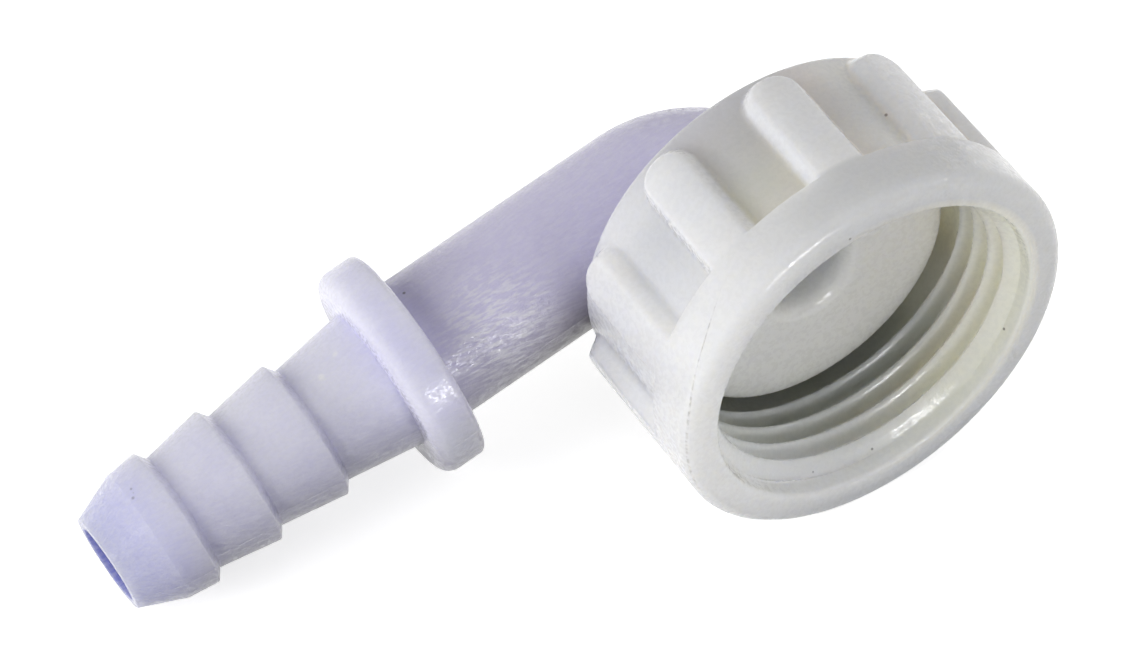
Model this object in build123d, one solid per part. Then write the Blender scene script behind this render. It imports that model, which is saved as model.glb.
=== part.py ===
from build123d import *
import math
import os

# A plastic hose elbow with a swivel nut, as used on washing-machine and garden taps.
# The nut's axis is Y and its mouth opens towards -Y. The origin is on that axis, at the
# plane where the nut's thread starts. The elbow turns the flow to -X, and the whole
# fitting lies as it rests on a table: on the nut's mouth band and on the barb's lead-in.

# Pipe thread G 3/4, drawn as a plain bore at its crests
THREAD_CREST_D = 24.12
THREAD_DEPTH = 1.16
THREAD_LENGTH = 5.9

# Swivel nut
NUT_WALL = 1.61
NUT_DRAFT = 0.7
MOUTH_BAND = 4.4
COUNTERBORE_DEPTH = 1.05
COUNTERBORE_PLAY = 0.1
MOUTH_OUTER_RADIUS = 0.9
MOUTH_INNER_RADIUS = 0.3
NUT_BASE = 3.0
NUT_BACK_RADIUS = 0.5
HOLE_CHAMFER = 0.3
RIB_COUNT = 10
RIB_HEIGHT = 1.35
RIB_TOP_WIDTH = 3.3
RIB_FOOT_WIDTH = 5.0
RIB_TOP_RADIUS = 0.3
RIB_FOOT_RADIUS = 0.3
RECESS_CORNER_RADIUS = 0.4
RIB_NOSE_RADIUS = 2.4
RIB_TO_BACK = 0.6

# Room past a surface that is cut, and how close a point on a surface must be
CUT_ROOM = 1.0
ON_SURFACE = 0.02

# Flange and neck of the elbow, which carry the nut
FLANGE_PLAY = 0.66
FLANGE_THICKNESS = 4.0
FLANGE_EDGE = 0.4
THREAD_RUNOUT = 0.2
END_FLOAT = 0.4
HOLE_OVER_COLLAR = 0.3
RUNNING_CLEARANCE = 0.1

# Tube and bend
TUBE_D = 11.34
BEND_INSIDE_RADIUS = 0.23
NUT_TO_TUBE = 0.9
BORE_D = 6.0
BORE_MOUTH_RADIUS = 1.2

# Stop collar
COLLAR_FROM_NUT_AXIS = 25.45
COLLAR_D = 17.1
COLLAR_THICKNESS = 3.6
COLLAR_TUBE_RADIUS = 0.55
COLLAR_BARB_RADIUS = 1.2

# Hose barb: each ridge's distance from the one before it, counted from the collar
RIDGE_SPACINGS = (6.55, 5.84, 5.43)
RIDGE_D = 11.16
ROOT_D = 9.5
STEM_D = 11.2
RIDGE_SLANT = 0.6
RIDGE_EDGE = 0.2
LAST_RIDGE_CONE = 2.45
LEAD_IN_START_D = 10.58
LEAD_IN_LENGTH = 3.52
TIP_D = 7.65
TIP_EDGE = 0.15

# Radii that follow
crest_r = THREAD_CREST_D / 2
root_r = crest_r + THREAD_DEPTH
nut_r = root_r + NUT_WALL + RIB_HEIGHT
flange_r = crest_r - FLANGE_PLAY
hole_r = COLLAR_D / 2 + HOLE_OVER_COLLAR / 2
neck_r = hole_r - RUNNING_CLEARANCE
tube_r = TUBE_D / 2
bend_r = tube_r + BEND_INSIDE_RADIUS
bore_r = BORE_D / 2
counterbore_r = root_r + COUNTERBORE_PLAY

# Stations along the nut's axis, as Y
chamfer_end_y = -(counterbore_r - crest_r)
mouth_y = chamfer_end_y - COUNTERBORE_DEPTH
band_y = mouth_y + MOUTH_BAND
flange_face_y = THREAD_LENGTH + THREAD_RUNOUT
flange_back_y = flange_face_y + FLANGE_THICKNESS
shoulder_y = flange_back_y + END_FLOAT
nut_back_y = shoulder_y + NUT_BASE
tail_axis_y = nut_back_y + NUT_TO_TUBE + tube_r
rib_end_y = nut_back_y - RIB_TO_BACK

# Stations along the tail, as distances from the nut's axis
collar_back = COLLAR_FROM_NUT_AXIS + COLLAR_THICKNESS
ridges = []
for spacing in RIDGE_SPACINGS:
    ridges.append((ridges[-1] if ridges else collar_back) + spacing)
lead_in_start = ridges[-1] + LAST_RIDGE_CONE
tip = lead_in_start + LEAD_IN_LENGTH


def turned(points, rounds=()):
    """A solid of revolution about Y from (radius, y) points.

    rounds gives corners to be rounded, each as (radius, y, size).
    """
    with BuildPart() as solid:
        with BuildSketch(Plane.XY) as section:
            with BuildLine():
                Polyline(*points, close=True)
            make_face()
            for radius, y, size in rounds:
                corner = section.vertices().sort_by_distance((radius, y, 0))[0]
                fillet(corner, size)
        revolve(axis=Axis.Y)
    return solid.part


def outer_r(y):
    """The nut's outside radius over its ribs, which shrinks from the mouth by the mould's draft."""
    return nut_r - (y - mouth_y) * math.tan(math.radians(NUT_DRAFT))


def floor_r(y):
    """The radius of the floor between the ribs."""
    return outer_r(y) - RIB_HEIGHT


def nut_blank():
    """The nut before its recesses are cut: a drafted drum and the stepped bore, turned in one."""
    return turned(
        [
            (counterbore_r, mouth_y), (nut_r, mouth_y), (outer_r(nut_back_y), nut_back_y),
            (hole_r + HOLE_CHAMFER, nut_back_y), (hole_r, nut_back_y - HOLE_CHAMFER),
            (hole_r, shoulder_y), (root_r, shoulder_y), (root_r, THREAD_LENGTH),
            (crest_r, THREAD_LENGTH), (crest_r, 0), (counterbore_r, chamfer_end_y),
        ],
        rounds=[
            (counterbore_r, mouth_y, MOUTH_INNER_RADIUS),
            (nut_r, mouth_y, MOUTH_OUTER_RADIUS),
        ],
    )


def rib_bar():
    """A bar with a rib's sloped flanks and rounded nose, at the nut's top, higher than the rib."""
    root = (floor_r(rib_end_y) + root_r) / 2
    top = nut_r + CUT_ROOM
    slope = (RIB_FOOT_WIDTH - RIB_TOP_WIDTH) / 2 / RIB_HEIGHT
    spread = (floor_r(rib_end_y) - root) * slope
    half_width = RIB_FOOT_WIDTH / 2 + spread
    front_y = band_y - CUT_ROOM - (top - root) * slope
    end_y = rib_end_y + spread
    with BuildPart() as bar:
        with BuildSketch(Plane.XY.offset(root)) as outline:
            with BuildLine():
                Polyline((-half_width, front_y), (half_width, front_y),
                         (half_width, end_y), (-half_width, end_y), close=True)
            make_face()
            fillet(outline.vertices().group_by(Axis.Y)[-1], RIB_NOSE_RADIUS + spread)
        extrude(amount=top - root, taper=math.degrees(math.atan(slope)))
    return bar.part


def lies_on(edge, radius_at):
    """Whether an edge lies on a surface of revolution about the nut's axis."""
    points = [edge @ t for t in (0, 0.25, 0.5, 0.75, 1)]
    return all(abs(math.hypot(p.X, p.Z) - radius_at(p.Y)) < ON_SURFACE for p in points)


def recesses():
    """What is missing from the blank: a ring behind the mouth band, less the ribs."""
    past_back = nut_back_y + CUT_ROOM
    past_ribs = nut_r + CUT_ROOM / 2
    ring = turned([(floor_r(band_y), band_y), (past_ribs, band_y),
                   (past_ribs, past_back), (floor_r(past_back), past_back)])
    cut = ring - [Rot(0, k * 360 / RIB_COUNT, 0) * rib_bar() for k in range(RIB_COUNT)]
    in_front = cut.edges().filter_by_position(Axis.Y, band_y - ON_SURFACE, band_y + ON_SURFACE)
    corners = [e for e in in_front if e.length > RIB_HEIGHT and e.geom_type == GeomType.LINE]
    cut = fillet(corners, RECESS_CORNER_RADIUS)
    feet = [e for e in cut.edges() if lies_on(e, floor_r) and (e @ 0.5).Y < nut_back_y]
    return fillet(feet, RIB_FOOT_RADIUS)


def swivel_nut():
    nut = nut_blank() - recesses()
    crowns = [e for e in nut.edges() if lies_on(e, outer_r) and (e @ 0.5).Y > band_y - ON_SURFACE]
    nut = fillet(crowns, RIB_TOP_RADIUS)
    back = [e for e in nut.edges() if lies_on(e, floor_r) and (e @ 0.5).Y > nut_back_y - ON_SURFACE]
    return fillet(back, NUT_BACK_RADIUS)


def barb_outline():
    """Half the barb's outline as (radius, station), from the collar out to the tip."""
    points = [(STEM_D / 2, collar_back)]
    for ridge in ridges:
        points += [(ROOT_D / 2, ridge - RIDGE_SLANT), (RIDGE_D / 2, ridge)]
    points += [(LEAD_IN_START_D / 2, lead_in_start), (TIP_D / 2, tip)]
    return points


def tail():
    """Tube, collar and barb, turned about Y and then laid along -X."""
    barb = turned(
        [(0, bend_r), (tube_r, bend_r), (tube_r, COLLAR_FROM_NUT_AXIS),
         (COLLAR_D / 2, COLLAR_FROM_NUT_AXIS), (COLLAR_D / 2, collar_back)]
        + barb_outline() + [(0, tip)],
        rounds=[
            (COLLAR_D / 2, COLLAR_FROM_NUT_AXIS, COLLAR_TUBE_RADIUS),
            (COLLAR_D / 2, collar_back, COLLAR_BARB_RADIUS),
            (TIP_D / 2, tip, TIP_EDGE),
        ] + [(RIDGE_D / 2, ridge, RIDGE_EDGE) for ridge in ridges],
    )
    return Pos(0, tail_axis_y, 0) * Rot(0, 0, 90) * barb


def flow_path(start_y, end_x):
    """The centreline, from a station on the nut's axis round the bend to one on the tail."""
    with BuildLine() as path:
        FilletPolyline((0, start_y, 0), (0, tail_axis_y, 0), (end_x, tail_axis_y, 0),
                       radius=bend_r)
    return path.line


def swept_round(path, radius):
    """A round bar of this radius along the centreline."""
    start = Plane(origin=path @ 0, z_dir=path % 0)
    return sweep(start * Circle(radius), path=path)


def hose_elbow():
    head = turned(
        [(0, flange_face_y), (flange_r, flange_face_y), (flange_r, flange_back_y),
         (neck_r, flange_back_y), (neck_r, nut_back_y), (0, nut_back_y)],
        rounds=[(flange_r, flange_face_y, FLANGE_EDGE)],
    )
    bend = swept_round(flow_path(nut_back_y, -bend_r), tube_r)
    elbow = head + bend + tail()
    elbow -= swept_round(flow_path(flange_face_y, -tip), bore_r)
    mouth = elbow.edges().filter_by(GeomType.CIRCLE).sort_by_distance((0, flange_face_y, 0))[0]
    return fillet(mouth, BORE_MOUTH_RADIUS)


def drop_until_touching():
    """How far the tail turns down about the nut's axis before its barb meets the table."""
    table_r = outer_r(mouth_y + MOUTH_OUTER_RADIUS)
    drops = []
    for radius, station in barb_outline():
        reach = math.hypot(station, radius)
        drops.append(math.asin(table_r / reach) - math.atan2(radius, station))
    return math.degrees(min(drops))


os.makedirs("parts", exist_ok=True)
elbow_at_rest = Rot(0, -drop_until_touching(), 0) * hose_elbow()
export_step(elbow_at_rest, "parts/hose_elbow.step")
export_step(swivel_nut(), "parts/swivel_nut.step")
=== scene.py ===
import math

import bpy
import numpy as np
from mathutils import Matrix, Vector


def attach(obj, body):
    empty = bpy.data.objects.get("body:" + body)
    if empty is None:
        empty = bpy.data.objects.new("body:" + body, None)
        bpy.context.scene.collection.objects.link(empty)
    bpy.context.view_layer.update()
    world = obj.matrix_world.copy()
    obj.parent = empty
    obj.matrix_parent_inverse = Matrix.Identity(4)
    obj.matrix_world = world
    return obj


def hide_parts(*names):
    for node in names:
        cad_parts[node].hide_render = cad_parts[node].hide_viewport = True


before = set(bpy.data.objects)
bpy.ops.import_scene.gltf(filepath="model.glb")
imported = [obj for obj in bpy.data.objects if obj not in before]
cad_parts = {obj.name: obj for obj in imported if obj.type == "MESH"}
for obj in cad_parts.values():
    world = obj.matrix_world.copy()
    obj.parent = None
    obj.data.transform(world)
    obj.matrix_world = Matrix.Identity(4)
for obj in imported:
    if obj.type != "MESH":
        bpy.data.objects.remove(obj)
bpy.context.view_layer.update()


# Hose elbow
# One injection moulding of unpigmented polypropylene: a disc that the nut pulls against the pipe, a
# neck that the nut turns on, a right-angle bend, a stop collar and a barb with three ridges. A 6 mm
# water way runs right through, and the mould parted along the plane of the bend.

# Sizes are in millimetres, and MM turns them into metres
MM = 0.001
DROP = math.radians(12.902)
FLANGE_FACE_Y = 6.1
FLANGE_R = 11.4
FLANGE_BACK_Y = 10.1
FLANGE_EDGE = 0.4
NECK_R = 8.6
NECK_END_Y = 13.5
TUBE_R = 5.67
BEND_R = 5.9
TAIL_AXIS_Y = 20.07
BORE_R = 3.0
BORE_MOUTH_RADIUS = 1.2
COLLAR_START = 25.45
COLLAR_END = 29.05
COLLAR_R = 8.55
COLLAR_TUBE_RADIUS = 0.55
COLLAR_BARB_RADIUS = 1.2
RIDGE_STATIONS = (35.6, 41.44, 46.87)
STEM_R = 5.6
ROOT_R = 4.75
RIDGE_R = 5.58
RIDGE_SLANT = 0.6
RIDGE_EDGE = 0.2
LEAD_IN_START = 49.32
LEAD_IN_R = 5.29
LEAD_IN_EDGE = 0.5
TIP = 52.84
TIP_R = 3.825
TIP_EDGE = 0.15
INNER_EDGE = 0.1
PARTING_HEIGHT = 0.035
PARTING_WIDTH = 0.11
ELBOW_STEP = 0.45
ELBOW_COLUMNS = 168
COLUMN_CROWDING = 0.38
SHARP_ANGLE = math.radians(28)
LENGTH_SLACK = 1e-6


def rounded(corners, step, arc_steps=8):
    """Points along a polyline of (x, y, radius) corners. Each corner becomes an arc of its radius
    that touches both sides, and straight stretches are cut so that no gap is longer than step."""
    places = np.array([corner[:2] for corner in corners], float)
    points = [places[0]]
    for here in range(1, len(corners)):
        at = places[here]
        radius = corners[here][2]
        stops = [at]
        if radius and here < len(corners) - 1:
            before = (places[here - 1] - at) / np.linalg.norm(places[here - 1] - at)
            after = (places[here + 1] - at) / np.linalg.norm(places[here + 1] - at)
            half = math.acos(np.clip(before @ after, -1, 1)) / 2
            middle = (before + after) / np.linalg.norm(before + after)
            centre = at + middle * radius / math.sin(half)
            side = np.array([-middle[1], middle[0]])
            side = -side if side @ before > 0 else side
            sweep = np.linspace(half - math.pi / 2, math.pi / 2 - half, arc_steps + 1)[:, None]
            stops = centre + radius * (np.sin(sweep) * side - np.cos(sweep) * middle)
        for stop in stops:
            start = points[-1]
            cuts = math.ceil(np.linalg.norm(stop - start) / step - LENGTH_SLACK)
            points += [start + (stop - start) * (cut + 1) / cuts for cut in range(cuts)]
    return np.array(points)


def along_path(station):
    """The centreline at a distance along it from the disc's face: straight along Y, a quarter
    circle of radius BEND_R, then straight along the dropped tail. Gives the point, and the
    direction that points away from the inside of the bend."""
    tail = np.array([-math.cos(DROP), 0.0, -math.sin(DROP)])
    axis = np.array([0.0, 1.0, 0.0])
    bend_start = head_station(TAIL_AXIS_Y - BEND_R)
    turn = np.clip((station - bend_start) / BEND_R, 0, math.pi / 2)[..., None]
    outward = np.sin(turn) * axis - np.cos(turn) * tail
    centre = axis * (TAIL_AXIS_Y - BEND_R) + BEND_R * (tail + outward)
    before = np.minimum(station - bend_start, 0)[..., None]
    after = np.maximum(station - tail_station(BEND_R), 0)[..., None]
    return centre + before * axis + after * tail, outward


def head_station(y):
    """How far along the centreline a height on the nut's axis lies."""
    return y - FLANGE_FACE_Y


def tail_station(distance):
    """How far along the centreline a distance from the nut's axis lies, out on the tail."""
    return head_station(TAIL_AXIS_Y - BEND_R) + BEND_R * math.pi / 2 + distance - BEND_R


def grid_mesh(name, points):
    """A closed mesh from a grid of points in millimetres, joined end to end both ways."""
    rows, columns = points.shape[:2]
    index = np.arange(rows * columns).reshape(rows, columns)
    ahead = np.roll(index, -1, axis=0)
    faces = np.stack([index, np.roll(index, -1, axis=1), np.roll(ahead, -1, axis=1), ahead],
                     axis=-1)
    mesh = bpy.data.meshes.new(name)
    mesh.from_pydata((points.reshape(-1, 3) * MM).tolist(), [], faces.reshape(-1, 4).tolist())
    mesh.shade_smooth()
    mesh.set_sharp_from_angle(angle=SHARP_ANGLE)
    piece = bpy.data.objects.new(name, mesh)
    bpy.context.collection.objects.link(piece)
    return piece


barb = [(tail_station(COLLAR_END), STEM_R, INNER_EDGE)]
for ridge in RIDGE_STATIONS:
    barb.append((tail_station(ridge - RIDGE_SLANT), ROOT_R, INNER_EDGE))
    barb.append((tail_station(ridge), RIDGE_R, RIDGE_EDGE))
outline = rounded(
    [
        (0, BORE_R + BORE_MOUTH_RADIUS, 0), (0, FLANGE_R, FLANGE_EDGE),
        (head_station(FLANGE_BACK_Y), FLANGE_R, INNER_EDGE),
        (head_station(FLANGE_BACK_Y), NECK_R, INNER_EDGE),
        (head_station(NECK_END_Y), NECK_R, INNER_EDGE),
        (head_station(NECK_END_Y), TUBE_R, INNER_EDGE),
        (tail_station(COLLAR_START), TUBE_R, INNER_EDGE),
        (tail_station(COLLAR_START), COLLAR_R, COLLAR_TUBE_RADIUS),
        (tail_station(COLLAR_END), COLLAR_R, COLLAR_BARB_RADIUS),
    ] + barb + [
        (tail_station(LEAD_IN_START), LEAD_IN_R, LEAD_IN_EDGE),
        (tail_station(TIP), TIP_R, TIP_EDGE), (tail_station(TIP), BORE_R, INNER_EDGE),
        (0, BORE_R, BORE_MOUTH_RADIUS), (0, BORE_R + BORE_MOUTH_RADIUS, 0),
    ],
    ELBOW_STEP,
)[:-1]
# Columns crowd at the two parting lines, where turn is 0 and half a circle
turn = np.linspace(0, 2 * math.pi, ELBOW_COLUMNS, endpoint=False)
turn = turn - COLUMN_CROWDING * np.sin(2 * turn)
centre, outward = along_path(outline[:, 0])
radius = outline[:, 1][:, None]
off_parting = radius * np.sin(turn)
is_tail_skin = (outline[:, :1] > tail_station(BEND_R)) & (radius > TIP_R)
radius = radius + PARTING_HEIGHT * is_tail_skin * np.exp(-(off_parting / PARTING_WIDTH) ** 2)
sideways = np.array([math.sin(DROP), 0.0, -math.cos(DROP)])
spoke = np.cos(turn)[None, :, None] * outward[:, None] + np.sin(turn)[None, :, None] * sideways
elbow = grid_mesh("elbow_moulding", centre[:, None] + radius[:, :, None] * spoke)


def linear(code):
    """An sRGB hex colour as linear red, green, blue and alpha."""
    values = [int(code[k:k + 2], 16) / 255 for k in (1, 3, 5)]
    return [v / 12.92 if v <= 0.04045 else ((v + 0.055) / 1.055) ** 2.4 for v in values] + [1.0]


def node(tree, kind, links=(), **settings):
    """Adds one shader node. Settings name its properties, or its inputs with spaces as underscores;
    links are (input name or number, output socket)."""
    made = tree.nodes.new(kind)
    for name, value in settings.items():
        if hasattr(made, name):
            setattr(made, name, value)
        elif name.startswith("input_"):
            made.inputs[int(name[6:])].default_value = value
        else:
            made.inputs[name.replace("_", " ")].default_value = value
    for place, source in links:
        tree.links.new(source, made.inputs[place])
    return made


def empty_material(name):
    """A material with an empty node tree."""
    material = bpy.data.materials.new(name)
    material.use_nodes = True
    material.node_tree.nodes.clear()
    return material, material.node_tree


def from_mm(start, end):
    """Map Range settings for a value that starts to count at one length and is full at another."""
    return {"From_Min": start * MM, "From_Max": end * MM}


def add_tints(tree, axes, colour, tints):
    """Lays tints over a colour in turn, each (axis, span along it, full strength, colour code)."""
    for axis, span, strength, code in tints:
        share = node(tree, "ShaderNodeMapRange", [("Value", axes[axis])], To_Max=strength,
                     **from_mm(*span))
        colour = node(tree, "ShaderNodeMix", [("Factor", share.outputs["Result"]), (6, colour)],
                      data_type="RGBA", input_7=linear(code)).outputs[2]
    return colour


# The share of a speck's radius over which it is full
SPECK_CORE = 0.4


def add_specks(tree, place, colour, code, specks):
    """Lays small round specks of one colour over another, each (x, y, z, radius, strength), with
    the place and the radius in millimetres."""
    for x, y, z, size, strength in specks:
        away = node(tree, "ShaderNodeVectorMath", [(0, place)], operation="DISTANCE",
                    input_1=(x * MM, y * MM, z * MM))
        mark = node(tree, "ShaderNodeMapRange", [("Value", away.outputs["Value"])], To_Max=strength,
                    **from_mm(size, size * SPECK_CORE))
        colour = node(tree, "ShaderNodeMix", [("Factor", mark.outputs["Result"]), (6, colour)],
                      data_type="RGBA", input_7=linear(code)).outputs[2]
    return colour


# Where the elbow's tints start and where they are full: heights over the tail's axis, places along
# X or Y, and distances from an axis or a point
SHADE_HEIGHT = (4.2, -3.4)
TUBE_X = (-27.0, -25.0)
NUT_SHADE_X = (-26.0, -14.0)
TIP_X = (-46.0, -52.0)
DISC_Y = (FLANGE_BACK_Y + 2.0, FLANGE_BACK_Y)
WATER_WAY_R = (BORE_R + 0.4, BORE_R + 0.1)
PAST_BEND_X = (-BEND_R, -2 * BEND_R)
WEAR_AND_HIGHLIGHT_CENTRE = (-20.4, 15.4, -1.6)
WEAR_AND_HIGHLIGHT_REACH = (5.5, 2.5)


def natural_polypropylene():
    """Unpigmented polypropylene, injection moulded. Light goes some millimetres into it, so it
    looks milky, with a bluish cast that deepens at the barb's tip, and painted shade darkens its
    bore. It is painted darker underneath as shade, most of all near the nut, and the disc is
    painted lighter and greener as light on it. Its satin skin has fine rubs along the tail, and one
    spot on the tube has deep scuffs, with the highlight there painted white."""
    cloud_mm = 5.0
    rub_length_mm = 1.4
    rub_width_mm = 0.22
    grain_mm = 0.35
    rub_depth_mm = 0.1
    light_depth_mm = 4.0
    material, tree = empty_material("natural_polypropylene")
    place = node(tree, "ShaderNodeTexCoord").outputs["Object"]
    axes = node(tree, "ShaderNodeSeparateXYZ", [("Vector", place)]).outputs
    cloud = node(tree, "ShaderNodeTexNoise", [("Vector", place)], Scale=1 / (cloud_mm * MM),
                 Detail=3.0)
    milky = node(tree, "ShaderNodeValToRGB", [("Fac", cloud.outputs["Fac"])])
    milky.color_ramp.elements[0].position = 0.35
    milky.color_ramp.elements[1].position = 0.65
    milky.color_ramp.elements[0].color = linear("#D9D8F1")
    milky.color_ramp.elements[1].color = linear("#E1E0F7")

    # Painted shade: darker under the tail's axis, by the height over it, and browner towards the
    # nut, where the nut shades it; above it, the tube from the collar on is greyer
    from_axis = node(tree, "ShaderNodeVectorMath", [(0, place)], operation="SUBTRACT",
                     input_1=(0.0, TAIL_AXIS_Y * MM, 0.0)).outputs["Vector"]
    height = node(tree, "ShaderNodeVectorMath", [(0, from_axis)], operation="DOT_PRODUCT",
                  input_1=(-math.sin(DROP), 0.0, math.cos(DROP))).outputs["Value"]
    shade_below_share = node(tree, "ShaderNodeMapRange", [("Value", height)], **from_mm(*SHADE_HEIGHT))
    bright = add_tints(tree, axes, milky.outputs["Color"], [("X", TUBE_X, 1.0, "#CFCBE6")])
    nut_shade_share = node(tree, "ShaderNodeMapRange", [("Value", axes["X"])], **from_mm(*NUT_SHADE_X))
    dull = node(tree, "ShaderNodeMix", [("Factor", nut_shade_share.outputs["Result"])], data_type="RGBA",
                input_6=linear("#9F9DB0"), input_7=linear("#716A60")).outputs[2]
    colour = node(tree, "ShaderNodeMix", [("Factor", shade_below_share.outputs["Result"]), (6, bright),
                                          (7, dull)], data_type="RGBA").outputs[2]
    # The barb's tip is bluer, and the disc is painted lighter and greener, as painted light on it
    colour = add_tints(tree, axes, colour, [
        ("X", TIP_X, 0.9, "#BFC1F0"), ("Y", DISC_Y, 1.0, "#F6FAF9"),
    ])

    # Painted shade in the bore inside the tail, by the distance to its axis
    across_axis = node(tree, "ShaderNodeVectorMath", [(0, from_axis)], operation="CROSS_PRODUCT",
                       input_1=(-math.cos(DROP), 0.0, -math.sin(DROP)))
    off_axis = node(tree, "ShaderNodeVectorMath", [(0, across_axis.outputs["Vector"])],
                    operation="LENGTH")
    near_axis = node(tree, "ShaderNodeMapRange", [("Value", off_axis.outputs["Value"])],
                     **from_mm(*WATER_WAY_R))
    past_bend = node(tree, "ShaderNodeMapRange", [("Value", axes["X"])], **from_mm(*PAST_BEND_X))
    in_bore = node(tree, "ShaderNodeMath", [(0, near_axis.outputs["Result"]),
                                            (1, past_bend.outputs["Result"])], operation="MULTIPLY")
    colour = node(tree, "ShaderNodeMix", [("Factor", in_bore.outputs["Value"]), (6, colour)],
                  data_type="RGBA", input_7=linear("#7E82D0")).outputs[2]
    colour = add_specks(tree, place, colour, "#3A3434", [
        (-25.11, 21.27, -0.07, 0.16, 0.8), (-48.71, 20.65, -5.70, 0.14, 0.45),
        (-48.75, 20.25, -5.72, 0.1, 0.3), (-48.99, 19.91, -5.76, 0.16, 0.5),
    ])
    # White scuffs on the stem, painted as bright as the highlights that they catch
    colour = add_specks(tree, place, colour, "#FFFFFF", [
        (-31.54, 20.42, -1.80, 0.3, 0.3), (-33.24, 19.62, -2.46, 0.35, 0.35),
        (-33.05, 19.3, -2.6, 0.25, 0.3),
    ])

    # Rubs run along the tail over a fine grain, and both are deepest in the worn spot on the tube,
    # where the rubs are painted white as the highlight that lies there
    along = node(tree, "ShaderNodeMapping", [("Vector", place)], Rotation=(0.0, DROP, 0.0),
                 Scale=(1 / (rub_length_mm * MM), 1 / (rub_width_mm * MM), 1 / (rub_width_mm * MM)))
    rubs = node(tree, "ShaderNodeTexNoise", [("Vector", along.outputs["Vector"])], Scale=1.0,
                Detail=2.0)
    grain = node(tree, "ShaderNodeTexNoise", [("Vector", place)], Scale=1 / (grain_mm * MM),
                 Detail=2.0)
    skin = node(tree, "ShaderNodeMath", [(0, rubs.outputs["Fac"]), (1, grain.outputs["Fac"])],
                operation="ADD")
    from_spot = node(tree, "ShaderNodeVectorMath", [(0, place)], operation="DISTANCE",
                     input_1=[value * MM for value in WEAR_AND_HIGHLIGHT_CENTRE])
    wear_and_highlight_spot = node(tree, "ShaderNodeMapRange", [("Value", from_spot.outputs["Value"])],
                   To_Min=0.2, To_Max=0.8, **from_mm(*WEAR_AND_HIGHLIGHT_REACH))
    bump = node(tree, "ShaderNodeBump", [("Height", skin.outputs["Value"]),
                                         ("Strength", wear_and_highlight_spot.outputs["Result"])],
                Distance=rub_depth_mm * MM)
    scratched = node(tree, "ShaderNodeMapRange", [("Value", rubs.outputs["Fac"])],
                     From_Min=0.42, From_Max=0.62, To_Max=0.7)
    # The rubs lighten the skin a little everywhere, and in the worn spot they are painted white as
    # a highlight
    rubs_and_painted_highlight = node(tree, "ShaderNodeMath", [(0, scratched.outputs["Result"]),
                                          (1, wear_and_highlight_spot.outputs["Result"])], operation="MULTIPLY")
    colour = node(tree, "ShaderNodeMix", [("Factor", rubs_and_painted_highlight.outputs["Value"]), (6, colour)],
                  data_type="RGBA", input_7=linear("#F0F0F4")).outputs[2]

    # Worn spots are dull and the skin between them shines
    gloss = node(tree, "ShaderNodeMapRange", [("Value", grain.outputs["Fac"])],
                 From_Min=0.47, From_Max=0.58, To_Min=0.1, To_Max=0.9)
    satin = node(tree, "ShaderNodeMapRange", [("Value", cloud.outputs["Fac"])],
                 From_Min=0.3, From_Max=0.7, To_Min=0.29, To_Max=0.38)
    shader = node(tree, "ShaderNodeBsdfPrincipled",
                  [("Base Color", colour), ("Roughness", satin.outputs["Result"]),
                   ("Normal", bump.outputs["Normal"]), ("Coat Normal", bump.outputs["Normal"]),
                   ("Coat Weight", gloss.outputs["Result"])],
                  IOR=1.49, Specular_IOR_Level=0.3, Coat_Roughness=0.2, Subsurface_Weight=1.0,
                  Subsurface_Scale=light_depth_mm * MM, Subsurface_Radius=(0.92, 0.92, 1.0))
    node(tree, "ShaderNodeOutputMaterial", [("Surface", shader.outputs["BSDF"])])
    return material


elbow.data.materials.append(natural_polypropylene())
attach(elbow, "elbow")
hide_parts("hose_elbow")


# Swivel nut
# A second moulding, of nylon that has yellowed a little: a mouth band and ten grip ribs on a
# drafted drum, and inside a counterbore, a chamfer, a right-hand G 3/4 pipe thread and a shoulder
# that holds the elbow's disc. It turns on the elbow's neck.
CREST_R = 12.06
THREAD_ROOT_R = 13.22
THREAD_PITCH = 25.4 / 14
THREAD_LENGTH = 5.9
THREAD_FLANK = math.radians(27.5)
THREAD_ROUND = 0.3
THREAD_FADE = 0.25
THREAD_SEAM = 0.1
CREST_Y = 0.84
RELIEF_START_Y = THREAD_LENGTH + 2 * THREAD_SEAM
CHAMFER_ROUND = 0.12
NUT_R = 16.18
NUT_DRAFT = math.radians(0.7)
MOUTH_Y = -2.31
BAND_Y = 2.09
NUT_BACK_Y = 13.5
NUT_BACK_RADIUS = 0.5
SHOULDER_Y = 10.5
SHOULDER_FILLET = 0.3
HOLE_R = 8.7
HOLE_CHAMFER = 0.3
COUNTERBORE_R = 13.32
CHAMFER_END_Y = -1.26
MOUTH_OUTER_RADIUS = 0.9
MOUTH_INNER_RADIUS = 0.3
RIB_COUNT = 10
RIB_HEIGHT = 1.35
RIB_TOP_WIDTH = 3.3
RIB_FOOT_WIDTH = 5.0
RIB_NOSE_RADIUS = 2.4
RIB_END_Y = 12.9
RIB_ROUND = 0.28
RECESS_CORNER = 0.9
WALL_SLOPE = 9.0
WALL_ROOM = 0.35
COLUMNS_PER_RIB = 46
FLANK_CROWDING = 3.2
FLANK_REACH = 0.75
CROWDING_SAMPLES = 2001
ROUND_ROWS = 9
BAND_ROWS = 6
WALL_ROWS = 26
RIB_ROWS = 16
NOSE_ROWS = 34
THREAD_ROWS = 66


def soft_least(a, b, room):
    """The lower of two heights, with the corner between them rounded over this room."""
    share = np.clip(0.5 + 0.5 * (b - a) / room, 0, 1)
    return b + (a - b) * share - room * share * (1 - share)


def soft_most(a, b, room):
    """The higher of two heights, with the corner between them filled over this room."""
    return -soft_least(-a, -b, room)


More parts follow.
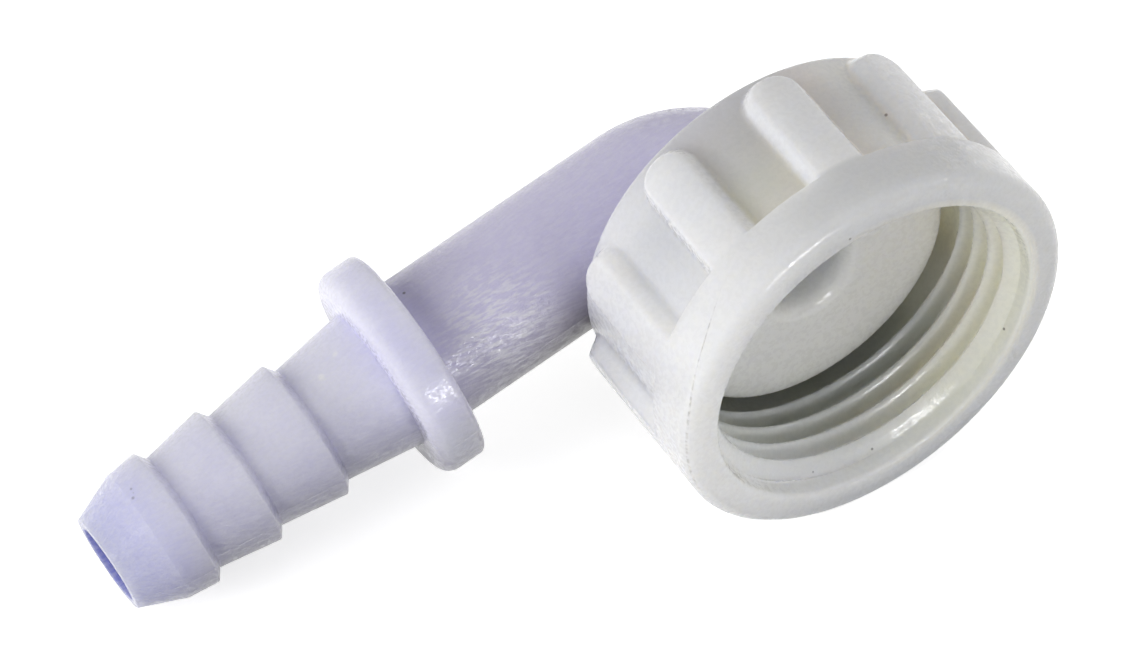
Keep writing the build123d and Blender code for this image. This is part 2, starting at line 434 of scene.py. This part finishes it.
def rib_height(across, y):
    """How far the nut's outside stands above its floor: a rib is a bar with sloped flanks and a
    rounded nose, and the mouth band's rear face is a steep wall, met with a fillet."""
    slope = RIB_HEIGHT / ((RIB_FOOT_WIDTH - RIB_TOP_WIDTH) / 2)
    side = RIB_FOOT_WIDTH / 2 - np.abs(across)
    end = RIB_END_Y - y
    corner = RIB_NOSE_RADIUS - np.hypot(RIB_NOSE_RADIUS - side, RIB_NOSE_RADIUS - end)
    is_corner = (side < RIB_NOSE_RADIUS) & (end < RIB_NOSE_RADIUS)
    inside = np.where(is_corner, corner, np.minimum(side, end))
    wall = (BAND_Y - y) * WALL_SLOPE + RIB_HEIGHT
    raised = soft_most(slope * inside, wall, RECESS_CORNER)
    return soft_most(soft_least(raised, RIB_HEIGHT, RIB_ROUND), 0, RIB_ROUND)


def floor_radius(y):
    """The radius of the floor between the ribs, which shrinks by the mould's draft."""
    return NUT_R - RIB_HEIGHT - (y - MOUTH_Y) * math.tan(NUT_DRAFT)


def thread_radius(y, angle):
    """The thread's wall: a ridge of 55 degrees with rounded crest and root that climbs one pitch a
    turn, right-handed about the nut's axis, cut back by the chamfer at its mouth."""
    turns = (y - CREST_Y) / THREAD_PITCH - angle / (2 * math.pi)
    off_crest = np.abs(turns - np.round(turns)) * THREAD_PITCH
    depth = THREAD_ROOT_R - CREST_R
    flat = (THREAD_PITCH / 2 - depth * math.tan(THREAD_FLANK)) / 2
    ridge = depth - (off_crest - flat) / math.tan(THREAD_FLANK)
    height = soft_most(soft_least(ridge, depth, THREAD_ROUND), 0, THREAD_ROUND)
    fade = np.clip((THREAD_LENGTH - y) / THREAD_FADE, 0, 1)
    chamfer = CREST_R - y
    wall = soft_most(THREAD_ROOT_R - height * fade, chamfer, CHAMFER_ROUND)
    return np.minimum(wall, COUNTERBORE_R)


def lathe(y, r):
    """Points at radius r and height y about the nut's axis, for every column."""
    y = np.broadcast_to(y, (len(y), len(nut_angle)))
    return np.stack([r * np.sin(nut_angle), y, r * np.cos(nut_angle)], axis=-1)


# Columns crowd where a rib's flanks are
rib_pitch = 2 * math.pi / RIB_COUNT
fine = np.linspace(-0.5, 0.5, CROWDING_SAMPLES)
off_flank = np.abs(fine) * rib_pitch * (NUT_R - RIB_HEIGHT) - (RIB_TOP_WIDTH + RIB_FOOT_WIDTH) / 4
crowding = np.cumsum(1 + FLANK_CROWDING * np.exp(-(off_flank / FLANK_REACH) ** 2))
crowding = (crowding - crowding[0]) / (crowding[-1] - crowding[0])
within_rib = np.interp(np.arange(COLUMNS_PER_RIB) / COLUMNS_PER_RIB, crowding, fine)
nut_angle = ((np.arange(RIB_COUNT)[:, None] + within_rib) * rib_pitch).ravel()
across = (NUT_R - RIB_HEIGHT) * np.sin(np.tile(within_rib, RIB_COUNT) * rib_pitch)

# Outside: round the mouth's edge, over the band and along the ribs, and round the back edge
quarter = np.linspace(0, math.pi / 2, ROUND_ROWS)[:, None]
mouth_round_y = MOUTH_Y + MOUTH_OUTER_RADIUS * (1 - np.cos(quarter))
mouth_round_r = NUT_R - MOUTH_OUTER_RADIUS * (1 - np.sin(quarter))
wall_front = BAND_Y - WALL_ROOM
wall_back = BAND_Y + RIB_HEIGHT / WALL_SLOPE + WALL_ROOM
nose_start = RIB_END_Y - RIB_NOSE_RADIUS
outside_y = np.concatenate([
    np.linspace(MOUTH_Y + MOUTH_OUTER_RADIUS, wall_front, BAND_ROWS)[1:],
    np.linspace(wall_front, wall_back, WALL_ROWS)[1:],
    np.linspace(wall_back, nose_start, RIB_ROWS)[1:],
    np.linspace(nose_start, NUT_BACK_Y - NUT_BACK_RADIUS, NOSE_ROWS)[1:],
])[:, None]
outside_r = floor_radius(outside_y) + rib_height(across, outside_y)
back_round_y = NUT_BACK_Y - NUT_BACK_RADIUS * (1 - np.sin(quarter[1:]))
back_round_r = floor_radius(NUT_BACK_Y) - NUT_BACK_RADIUS * (1 - np.cos(quarter[1:]))

# Inside: hole, shoulder and relief, then thread and chamfer, then counterbore and the mouth's face
base = rounded(
    [
        (NUT_BACK_Y, floor_radius(NUT_BACK_Y) - NUT_BACK_RADIUS, 0),
        (NUT_BACK_Y, HOLE_R + HOLE_CHAMFER, INNER_EDGE),
        (NUT_BACK_Y - HOLE_CHAMFER, HOLE_R, INNER_EDGE),
        (SHOULDER_Y, HOLE_R, INNER_EDGE), (SHOULDER_Y, THREAD_ROOT_R, SHOULDER_FILLET),
        (RELIEF_START_Y, THREAD_ROOT_R, 0),
    ],
    step=1.0, arc_steps=4,
)[1:]
thread_start = CHAMFER_END_Y + THREAD_SEAM
thread_y = np.linspace(THREAD_LENGTH + THREAD_SEAM, thread_start, THREAD_ROWS)[:, None]
mouth = rounded(
    [
        (thread_start, COUNTERBORE_R, 0), (MOUTH_Y, COUNTERBORE_R, MOUTH_INNER_RADIUS),
        (MOUTH_Y, NUT_R - MOUTH_OUTER_RADIUS, 0),
    ],
    step=0.5, arc_steps=5,
)[1:-1]
nut = grid_mesh("nut_moulding", np.concatenate([
    lathe(mouth_round_y, mouth_round_r),
    lathe(outside_y, outside_r),
    lathe(back_round_y, back_round_r),
    lathe(base[:, :1], base[:, 1:]),
    lathe(thread_y, thread_radius(thread_y, nut_angle)),
    lathe(mouth[:, :1], mouth[:, 1:]),
]))


# Where the nut's tints start and where they are full, along an axis or by the distance to the nut's
# axis, and the scuff: a line whose height is SCUFF_Y plus SCUFF_RISE times the square of the angle
# round the nut past SCUFF_BEND
FLOOR_SHADE_Y = (6.0, 12.5)
FLOOR_RIGHT_X = (0.0, 5.0)
FLOOR_LIT_X = (-7.0, -11.0)
RIB_TOP_R = (14.85, 15.25)
BAND_FRONT_Y = (BAND_Y + 0.4, BAND_Y)
BAND_SHADE_X = (-12.0, -4.0)
BORE_CREAM_X = (-7.0, 7.0)
BORE_DEEP_Y = (1.0, 4.2)
BORE_LOW_Z = (-2.0, -9.0)
BORE_WALL_R = (14.2, 13.4)
SCUFF_Y = -2.02
SCUFF_RISE = 5.3
SCUFF_BEND = -1.45
SCUFF_HALF_WIDTH = (0.1, 0.03)
SCUFF_START = (-1.95, -1.85)
SCUFF_END = (-0.75, -0.9)


def aged_nylon():
    """Natural nylon, injection moulded and a little yellowed: satin and milky and white on the
    ribs. The thin floors between the ribs are painted darker as shade, greyer at the back and
    pinkish on the right, and painted lighter towards the tail, where the light falls. The mouth
    band is painted darker away from the tail as shade. The bore is painted creamy on the right for
    the light that comes through its wall, and painted shade makes the thread's lower wall grey deep
    in. One fine scuff climbs over the mouth's outer edge."""
    cloud_mm = 5.0
    grain_mm = 0.4
    dent_mm = 2.2
    dent_depth_mm = 0.045
    dents_over_grain = 3.0
    light_depth_mm = 6.0
    material, tree = empty_material("aged_nylon")
    place = node(tree, "ShaderNodeTexCoord").outputs["Object"]
    axes = node(tree, "ShaderNodeSeparateXYZ", [("Vector", place)]).outputs
    flat = node(tree, "ShaderNodeVectorMath", [(0, place)], operation="MULTIPLY",
                input_1=(1.0, 0.0, 1.0))
    off_axis = node(tree, "ShaderNodeVectorMath", [(0, flat.outputs["Vector"])], operation="LENGTH")
    cloud = node(tree, "ShaderNodeTexNoise", [("Vector", place)], Scale=1 / (cloud_mm * MM),
                 Detail=4.0)
    thick = node(tree, "ShaderNodeValToRGB", [("Fac", cloud.outputs["Fac"])])
    thick.color_ramp.elements[0].position = 0.35
    thick.color_ramp.elements[1].position = 0.65
    thick.color_ramp.elements[0].color = linear("#F1EFEE")
    thick.color_ramp.elements[1].color = linear("#F7F7F7")
    # The floors between the ribs are painted darker than the ribs, as painted shade in the recesses
    thin = node(tree, "ShaderNodeValToRGB", [("Fac", cloud.outputs["Fac"])])
    thin.color_ramp.elements[0].position = 0.4
    thin.color_ramp.elements[1].position = 0.6
    thin.color_ramp.elements[0].color = linear("#DAD8CC")
    thin.color_ramp.elements[1].color = linear("#E1DCD2")

    # Painted shade and light on the floors: greyer at the back as shade, pinkish on the right, and
    # lighter towards the tail, where the light falls
    floor = add_tints(tree, axes, thin.outputs["Color"], [
        ("Y", FLOOR_SHADE_Y, 0.8, "#C6C6CE"), ("X", FLOOR_RIGHT_X, 1.0, "#FFF1E8"),
        ("X", FLOOR_LIT_X, 1.0, "#E6E6E8"),
    ])
    on_rib = node(tree, "ShaderNodeMapRange", [("Value", off_axis.outputs["Value"])],
                  **from_mm(*RIB_TOP_R))
    colour = node(tree, "ShaderNodeMix", [("Factor", on_rib.outputs["Result"]), (6, floor),
                                          (7, thick.outputs["Color"])], data_type="RGBA").outputs[2]

    # Painted shade: the mouth band is darker away from the tail, where less light falls
    in_front = node(tree, "ShaderNodeMapRange", [("Value", axes["Y"])], **from_mm(*BAND_FRONT_Y))
    right = node(tree, "ShaderNodeMapRange", [("Value", axes["X"])], **from_mm(*BAND_SHADE_X))
    band = node(tree, "ShaderNodeMix", [("Factor", right.outputs["Result"])], data_type="RGBA",
                input_6=linear("#F6F5F4"), input_7=linear("#D9DADC")).outputs[2]
    colour = node(tree, "ShaderNodeMix", [("Factor", in_front.outputs["Result"]), (6, colour),
                                          (7, band)], data_type="RGBA").outputs[2]

    # The bore is painted creamy on the right for the light that comes through its wall, and painted
    # shade greys its lower wall deep in the thread
    cream_light_share = node(tree, "ShaderNodeMapRange", [("Value", axes["X"])], **from_mm(*BORE_CREAM_X))
    bore_cream_light = node(tree, "ShaderNodeMix", [("Factor", cream_light_share.outputs["Result"])],
                      data_type="RGBA", input_6=linear("#FBFDFE"),
                      input_7=linear("#FFF8E2")).outputs[2]
    deep = node(tree, "ShaderNodeMapRange", [("Value", axes["Y"])], **from_mm(*BORE_DEEP_Y))
    low = node(tree, "ShaderNodeMapRange", [("Value", axes["Z"])], **from_mm(*BORE_LOW_Z))
    thread_shade_share = node(tree, "ShaderNodeMath", [(0, deep.outputs["Result"]),
                                             (1, low.outputs["Result"])], operation="MULTIPLY")
    bore = node(tree, "ShaderNodeMix", [("Factor", thread_shade_share.outputs["Value"]), (6, bore_cream_light)],
                data_type="RGBA", input_7=linear("#C6C8C2")).outputs[2]
    in_bore = node(tree, "ShaderNodeMapRange", [("Value", off_axis.outputs["Value"])],
                   **from_mm(*BORE_WALL_R))
    colour = node(tree, "ShaderNodeMix", [("Factor", in_bore.outputs["Result"]), (6, colour),
                                          (7, bore)], data_type="RGBA").outputs[2]
    colour = add_specks(tree, place, colour, "#3A3430", [
        (-2.19, -2.31, 13.88, 0.15, 0.8), (11.78, -1.32, -6.09, 0.14, 0.8),
        (0.70, -0.71, -12.95, 0.13, 0.8), (-4.37, -0.61, -12.24, 0.11, 0.5),
        (6.63, 6.37, 13.29, 0.17, 0.7),
    ])

    # The scuff, faded at both ends and broken by the grain
    angle = node(tree, "ShaderNodeMath", [(0, axes["X"]), (1, axes["Z"])], operation="ARCTAN2")
    past_bend = node(tree, "ShaderNodeMath", [(0, angle.outputs["Value"])], operation="SUBTRACT",
                     input_1=SCUFF_BEND)
    climb = node(tree, "ShaderNodeMath", [(0, past_bend.outputs["Value"])], operation="MAXIMUM",
                 input_1=0.0)
    squared = node(tree, "ShaderNodeMath", [(0, climb.outputs["Value"])], operation="POWER",
                   input_1=2.0)
    scuff_y = node(tree, "ShaderNodeMath", [(0, squared.outputs["Value"])],
                   operation="MULTIPLY_ADD", input_1=SCUFF_RISE * MM, input_2=SCUFF_Y * MM)
    above = node(tree, "ShaderNodeMath", [(0, axes["Y"]), (1, scuff_y.outputs["Value"])],
                 operation="SUBTRACT")
    off_scuff = node(tree, "ShaderNodeMath", [(0, above.outputs["Value"])], operation="ABSOLUTE")
    line = node(tree, "ShaderNodeMapRange", [("Value", off_scuff.outputs["Value"])],
                **from_mm(*SCUFF_HALF_WIDTH))
    from_start = node(tree, "ShaderNodeMapRange", [("Value", angle.outputs["Value"])],
                      From_Min=SCUFF_START[0], From_Max=SCUFF_START[1])
    to_end = node(tree, "ShaderNodeMapRange", [("Value", angle.outputs["Value"])],
                  From_Min=SCUFF_END[0], From_Max=SCUFF_END[1])
    grain = node(tree, "ShaderNodeTexNoise", [("Vector", place)], Scale=1 / (grain_mm * MM),
                 Detail=3.0)
    broken = node(tree, "ShaderNodeMapRange", [("Value", grain.outputs["Fac"])],
                  From_Min=0.4, From_Max=0.62, To_Min=0.1, To_Max=0.5)
    scuff = line.outputs["Result"]
    for part in (from_start, to_end, broken):
        scuff = node(tree, "ShaderNodeMath", [(0, scuff), (1, part.outputs["Result"])],
                     operation="MULTIPLY").outputs["Value"]
    colour = node(tree, "ShaderNodeMix", [("Factor", scuff), (6, colour)], data_type="RGBA",
                  input_7=linear("#8C8A86")).outputs[2]

    # Shallow dents under a fine grain; worn spots are dull and the skin between them shines
    dents = node(tree, "ShaderNodeTexNoise", [("Vector", place)], Scale=1 / (dent_mm * MM),
                 Detail=1.0)
    skin = node(tree, "ShaderNodeMath", [(0, dents.outputs["Fac"]), (2, grain.outputs["Fac"])],
                operation="MULTIPLY_ADD", input_1=dents_over_grain)
    bump = node(tree, "ShaderNodeBump", [("Height", skin.outputs["Value"])],
                Strength=0.6, Distance=dent_depth_mm * MM)
    gloss = node(tree, "ShaderNodeMapRange", [("Value", grain.outputs["Fac"])],
                 From_Min=0.46, From_Max=0.56, To_Min=0.2, To_Max=0.9)
    shader = node(tree, "ShaderNodeBsdfPrincipled",
                  [("Base Color", colour), ("Normal", bump.outputs["Normal"]),
                   ("Coat Normal", bump.outputs["Normal"]),
                   ("Coat Weight", gloss.outputs["Result"])],
                  Roughness=0.3, IOR=1.53, Specular_IOR_Level=0.35, Coat_Roughness=0.14,
                  Subsurface_Weight=1.0, Subsurface_Scale=light_depth_mm * MM,
                  Subsurface_Radius=(1.0, 0.95, 0.8))
    node(tree, "ShaderNodeOutputMaterial", [("Surface", shader.outputs["BSDF"])])
    return material


nut.data.materials.append(aged_nylon())
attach(nut, "nut")
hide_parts("swivel_nut")


# Table
# A plain white sheet that the fitting lies on. It touches the nut's mouth band and the barb's
# lead-in, and is part of the studio, not of the fitting.
TABLE_Z = -16.169
TABLE_SIZE = 3000.0
PAPER_WASH = 0.62
half = TABLE_SIZE / 2
corners = ((-half, -half), (half, -half), (half, half), (-half, half))
table_mesh = bpy.data.meshes.new("table")
table_mesh.from_pydata([(x * MM, y * MM, TABLE_Z * MM) for x, y in corners], [], [(0, 1, 2, 3)])
table = bpy.data.objects.new("table", table_mesh)
bpy.context.collection.objects.link(table)


def seen_directly(tree):
    """1 for rays that the camera, a gloss or a clear body sends out, and 0 for scattered light."""
    path = node(tree, "ShaderNodeLightPath").outputs
    seen = node(tree, "ShaderNodeMath", [(0, path["Is Camera Ray"]), (1, path["Is Glossy Ray"])],
                operation="MAXIMUM")
    return node(tree, "ShaderNodeMath", [(0, seen.outputs["Value"]),
                                         (1, path["Is Transmission Ray"])],
                operation="MAXIMUM").outputs["Value"]


def white_sheet():
    """White paper, washed out to plain white where no shadow lies. The light that it throws back up
    is that of a grey sheet."""
    material, tree = empty_material("white_sheet")
    grey = node(tree, "ShaderNodeBsdfDiffuse", Color=linear("#303030"))
    paper = node(tree, "ShaderNodeBsdfDiffuse", Color=linear("#FFFFFF"))
    wash = node(tree, "ShaderNodeEmission", Color=linear("#FFFFFF"), Strength=PAPER_WASH)
    white = node(tree, "ShaderNodeAddShader", [(0, paper.outputs["BSDF"]),
                                               (1, wash.outputs["Emission"])])
    mix = node(tree, "ShaderNodeMixShader", [("Fac", seen_directly(tree)),
                                             (1, grey.outputs["BSDF"]),
                                             (2, white.outputs["Shader"])])
    node(tree, "ShaderNodeOutputMaterial", [("Surface", mix.outputs["Shader"])])
    material.cycles.emission_sampling = "NONE"
    return material


table.data.materials.append(white_sheet())


# Light and camera
# Soft boxes stand all round, the strongest on the tail's side. One close to the mouth and two small
# glints show as highlights, and the others only light. The camera looks down from in front of the
# nut's mouth, from far away.
AIM = Vector((-14.39, 17.06, -7.12))
CAMERA_AZIMUTH = -30.19
CAMERA_ELEVATION = 49.88
CAMERA_ROLL = -2.69
CAMERA_DISTANCE = 582.5
FOCAL_PX = 8000.0
PICTURE_WIDTH_PX = 1128
SENSOR_MM = 36.0
LAMP_DISTANCE = 500.0
FRONT_DISTANCE = 150.0
NEAR_CLIP = 10.0
ROOM_LIGHT = 0.04


def look_from(azimuth, elevation, roll=0.0):
    """The turn of a lamp or camera that looks at the object from this azimuth and elevation in
    degrees, and the direction from the object to it."""
    azimuth, elevation, roll = map(math.radians, (azimuth, elevation, roll))
    back = Vector((math.sin(azimuth) * math.cos(elevation),
                   -math.cos(azimuth) * math.cos(elevation), math.sin(elevation)))
    right = Vector((0, 0, 1)).cross(back).normalized()
    up = back.cross(right)
    turned_right = right * math.cos(roll) + up * math.sin(roll)
    turned_up = up * math.cos(roll) - right * math.sin(roll)
    return Matrix((turned_right, turned_up, back)).transposed().to_4x4(), back


def soft_box(name, azimuth, elevation, width, height, power, distance=LAMP_DISTANCE,
             is_gloss=False):
    """A rectangular area lamp aimed at the object, with sizes in millimetres and its power in
    watts. Only those with is_gloss show as highlights."""
    lamp = bpy.data.lights.new(name, "AREA")
    lamp.shape = "RECTANGLE"
    lamp.size = width * MM
    lamp.size_y = height * MM
    lamp.energy = power
    turn, back = look_from(azimuth, elevation)
    holder = bpy.data.objects.new(name, lamp)
    holder.matrix_world = Matrix.Translation((AIM + back * distance) * MM) @ turn
    holder.visible_glossy = is_gloss
    bpy.context.collection.objects.link(holder)


soft_box("tail_side", -108, 6, 200, 60, 0.62)
soft_box("left_high", -92, 34, 220, 220, 0.9)
soft_box("left_front", -74, 15, 150, 110, 0.5)
soft_box("front_left", -35, 18, 160, 160, 0.15)
soft_box("front", 2, 12, 44, 36, 0.062, distance=FRONT_DISTANCE, is_gloss=True)
soft_box("right", 76, 14, 220, 130, 0.5)
soft_box("right_high", 93, 36, 240, 240, 0.44)
soft_box("behind", 150, 45, 300, 300, 0.42)
soft_box("right_glint", 50, 19, 90, 70, 0.1, is_gloss=True)
soft_box("left_glint", -75, 30, 60, 60, 0.08, is_gloss=True)
soft_box("left_back", -150, 10, 200, 150, 0.3)

camera_data = bpy.data.cameras.new("camera")
camera_data.sensor_width = SENSOR_MM
camera_data.lens = FOCAL_PX * SENSOR_MM / PICTURE_WIDTH_PX
camera_data.clip_start = NEAR_CLIP * MM
camera = bpy.data.objects.new("camera", camera_data)
camera_turn, camera_back = look_from(CAMERA_AZIMUTH, CAMERA_ELEVATION, CAMERA_ROLL)
camera.matrix_world = Matrix.Translation((AIM + camera_back * CAMERA_DISTANCE) * MM) @ camera_turn
bpy.context.collection.objects.link(camera)
bpy.context.scene.camera = camera

world = bpy.data.worlds.new("white_room")
world.use_nodes = True
world.node_tree.nodes.clear()
seen = seen_directly(world.node_tree)
strength = node(world.node_tree, "ShaderNodeMapRange", [("Value", seen)], To_Min=ROOM_LIGHT)
sky = node(world.node_tree, "ShaderNodeBackground", [("Strength", strength.outputs["Result"])],
           Color=linear("#FFFFFF"))
node(world.node_tree, "ShaderNodeOutputWorld", [("Surface", sky.outputs["Background"])])
bpy.context.scene.world = world
bpy.context.scene.view_settings.view_transform = "Standard"
